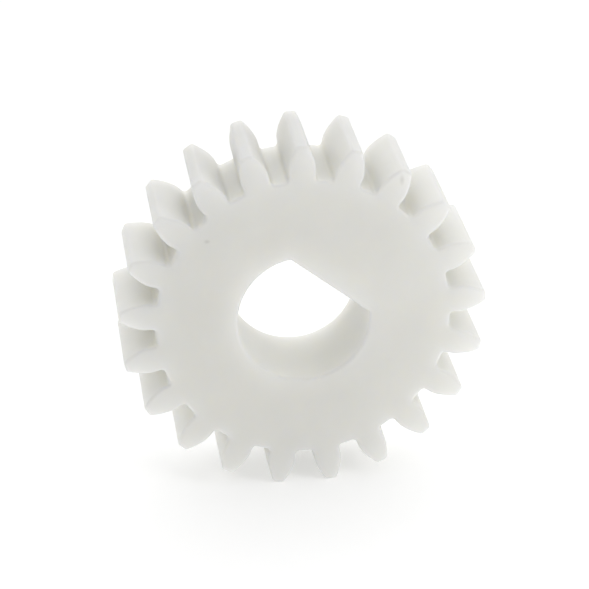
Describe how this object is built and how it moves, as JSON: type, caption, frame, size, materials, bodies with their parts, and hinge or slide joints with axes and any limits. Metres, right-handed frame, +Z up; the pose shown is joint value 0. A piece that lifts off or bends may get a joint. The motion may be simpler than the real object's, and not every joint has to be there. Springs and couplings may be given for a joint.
{
  "type": "spur gear",
  "caption": "One-piece moulded plastic spur gear with a plain front face, a cored back face and a D bore that fits a shaft with one flat.",
  "frame": {"origin": "on the bore axis, half way between the front and back faces", "axes": "+Y along the bore axis towards the cored back face, so the plain front face looks along -Y; +Z up through the middle of a tooth; +X to the right seen from the front"},
  "size_m": [0.023, 0.0064, 0.0229],
  "materials": {
    "natural_plastic": "natural unpigmented nylon or acetal, slightly translucent, satin as moulded"
  },
  "bodies": {
    "root": {"spur_gear": "natural_plastic"}
  },
  "joints": []
}
